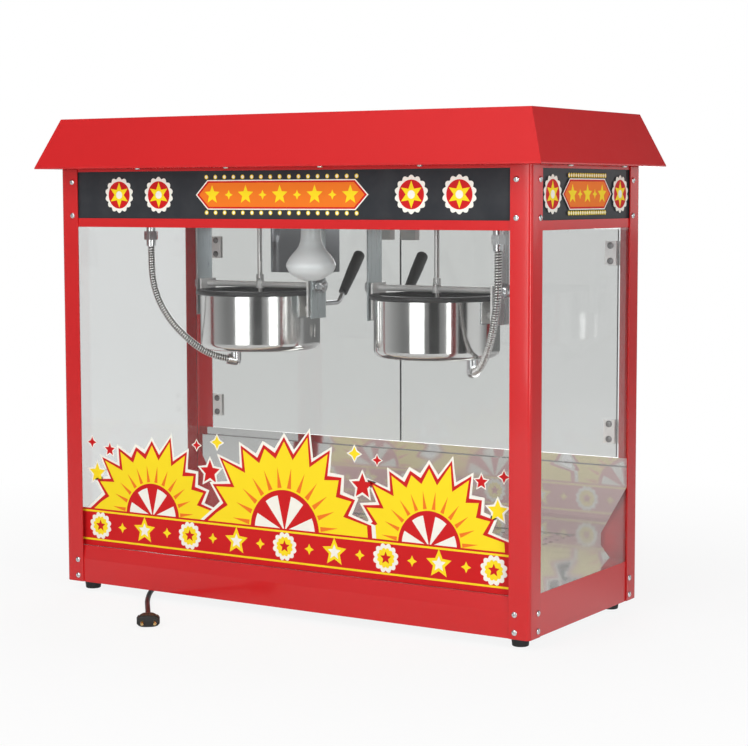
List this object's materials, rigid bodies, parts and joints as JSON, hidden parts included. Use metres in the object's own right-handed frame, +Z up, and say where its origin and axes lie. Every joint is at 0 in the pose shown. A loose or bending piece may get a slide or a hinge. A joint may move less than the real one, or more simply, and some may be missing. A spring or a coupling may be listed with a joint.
{
  "type": "popcorn machine",
  "caption": "Glazed cabinet popcorn machine with hip roof, tilting kettles with powered stirrers, perforated sifter deck, kernel drawer, rear doors and mains lead.",
  "frame": {"origin": "on the floor under the middle of the cabinet", "axes": "+X to the right seen from the front, +Y to the operator's side at the back, +Z up"},
  "size_m": [0.92, 0.7081, 0.77],
  "materials": {
    "red_paint": "gloss baked enamel",
    "stainless": "brushed",
    "polished_steel": "polished",
    "galvanised": "plain",
    "clear_pane": "clear",
    "black_acrylic": "gloss",
    "black_plastic": "moulded",
    "red_plastic": "moulded",
    "nonstick": "satin non-stick coating",
    "cast_heater": "cast",
    "bright_plating": "plated",
    "armour_steel": "wound strip",
    "frosted_glass": "frosted",
    "lamp_white": "moulded",
    "rubber": "matte",
    "cord_rubber": "satin"
  },
  "bodies": {
    "cabinet": {"base_floor": "galvanised", "base_front_panel": "red_paint", "base_rear_panel": "red_paint", "base_side_panels": "red_paint", "cabinet_screws": "bright_plating", "ceiling": "stainless", "conduit_fittings": "bright_plating", "control_panel": "red_paint", "cord_coil": "cord_rubber", "cord_gland": "cord_rubber", "cord_lead": "cord_rubber", "cord_tail": "cord_rubber", "corner_posts": "red_paint", "deck_panels": "stainless", "door_catches": "black_plastic", "drawer_runners": "galvanised", "frame_hinges": "bright_plating", "front_glass": "clear_pane", "kettle_hangers": "stainless", "lamp_bulb": "frosted_glass", "lamp_holder": "lamp_white", "left_conduit": "armour_steel", "plug": "cord_rubber", "right_conduit": "armour_steel", "roof_frame": "red_paint", "roof_shell": "red_paint", "rubber_feet": "rubber", "side_glass": "clear_pane", "sifter_plate": "stainless", "sign_panels": "black_acrylic", "sign_rails": "red_paint", "stir_motors": "galvanised", "switch_housings": "black_plastic", "wiring_box": "polished_steel"},
    "left_kettle": {"left_kettle_shell": "polished_steel", "left_pan": "nonstick", "left_heater": "cast_heater", "left_yoke": "stainless", "left_handle_rod": "bright_plating", "left_grip": "black_plastic", "left_elbow": "bright_plating"},
    "left_stirrer": {"left_stirrer": "stainless"},
    "left_drive": {"left_drive_shaft": "stainless"},
    "left_door": {"left_door_pane": "clear_pane", "left_door_hardware": "bright_plating"},
    "right_kettle": {"right_kettle_shell": "polished_steel", "right_pan": "nonstick", "right_heater": "cast_heater", "right_yoke": "stainless", "right_handle_rod": "bright_plating", "right_grip": "black_plastic", "right_elbow": "bright_plating"},
    "right_stirrer": {"right_stirrer": "stainless"},
    "right_drive": {"right_drive_shaft": "stainless"},
    "right_door": {"right_door_pane": "clear_pane", "right_door_hardware": "bright_plating"},
    "drawer": {"kernel_drawer": "stainless"},
    "left_switch": {"left_rocker": "red_plastic"},
    "centre_switch": {"centre_rocker": "red_plastic"},
    "right_switch": {"right_rocker": "red_plastic"}
  },
  "joints": [
    {"name": "left_kettle_tilt", "type": "hinge", "parent": "cabinet", "child": "left_kettle", "pos_m": [-0.168, 0.008, 0.502], "axis": [-1, 0, 0], "range_deg": [0, 90], "deforming": ["left_conduit"]},
    {"name": "left_drive_spin", "type": "hinge", "parent": "cabinet", "child": "left_drive", "pos_m": [-0.168, 0.008, 0.502], "axis": [0, 0, 1], "continuous": true},
    {"name": "left_stirrer_spin", "type": "hinge", "parent": "left_kettle", "child": "left_stirrer", "pos_m": [-0.168, 0.008, 0.502], "axis": [0, 0, 1], "continuous": true},
    {"name": "left_door_swing", "type": "hinge", "parent": "cabinet", "child": "left_door", "pos_m": [-0.395, 0.1845, 0.4], "axis": [0, 0, 1], "range_deg": [0, 115]},
    {"name": "right_kettle_tilt", "type": "hinge", "parent": "cabinet", "child": "right_kettle", "pos_m": [0.168, 0.008, 0.502], "axis": [-1, 0, 0], "range_deg": [0, 90], "deforming": ["right_conduit"]},
    {"name": "right_drive_spin", "type": "hinge", "parent": "cabinet", "child": "right_drive", "pos_m": [0.168, 0.008, 0.502], "axis": [0, 0, 1], "continuous": true},
    {"name": "right_stirrer_spin", "type": "hinge", "parent": "right_kettle", "child": "right_stirrer", "pos_m": [0.168, 0.008, 0.502], "axis": [0, 0, 1], "continuous": true},
    {"name": "right_door_swing", "type": "hinge", "parent": "cabinet", "child": "right_door", "pos_m": [0.395, 0.1845, 0.4], "axis": [0, 0, -1], "range_deg": [0, 115]},
    {"name": "drawer_slide", "type": "slide", "parent": "cabinet", "child": "drawer", "axis": [0, 1, 0], "range_m": [0, 0.14]},
    {"name": "left_switch_rock", "type": "hinge", "parent": "cabinet", "child": "left_switch", "pos_m": [-0.06, 0.177, 0.65], "axis": [1, 0, 0], "range_deg": [0, 18]},
    {"name": "centre_switch_rock", "type": "hinge", "parent": "cabinet", "child": "centre_switch", "pos_m": [0, 0.177, 0.65], "axis": [1, 0, 0], "range_deg": [0, 18]},
    {"name": "right_switch_rock", "type": "hinge", "parent": "cabinet", "child": "right_switch", "pos_m": [0.06, 0.177, 0.65], "axis": [1, 0, 0], "range_deg": [0, 18]}
  ],
  "couplings": [
    {"joint": "left_stirrer_spin", "follows": "left_drive_spin", "ratio": 1},
    {"joint": "right_stirrer_spin", "follows": "right_drive_spin", "ratio": 1}
  ]
}
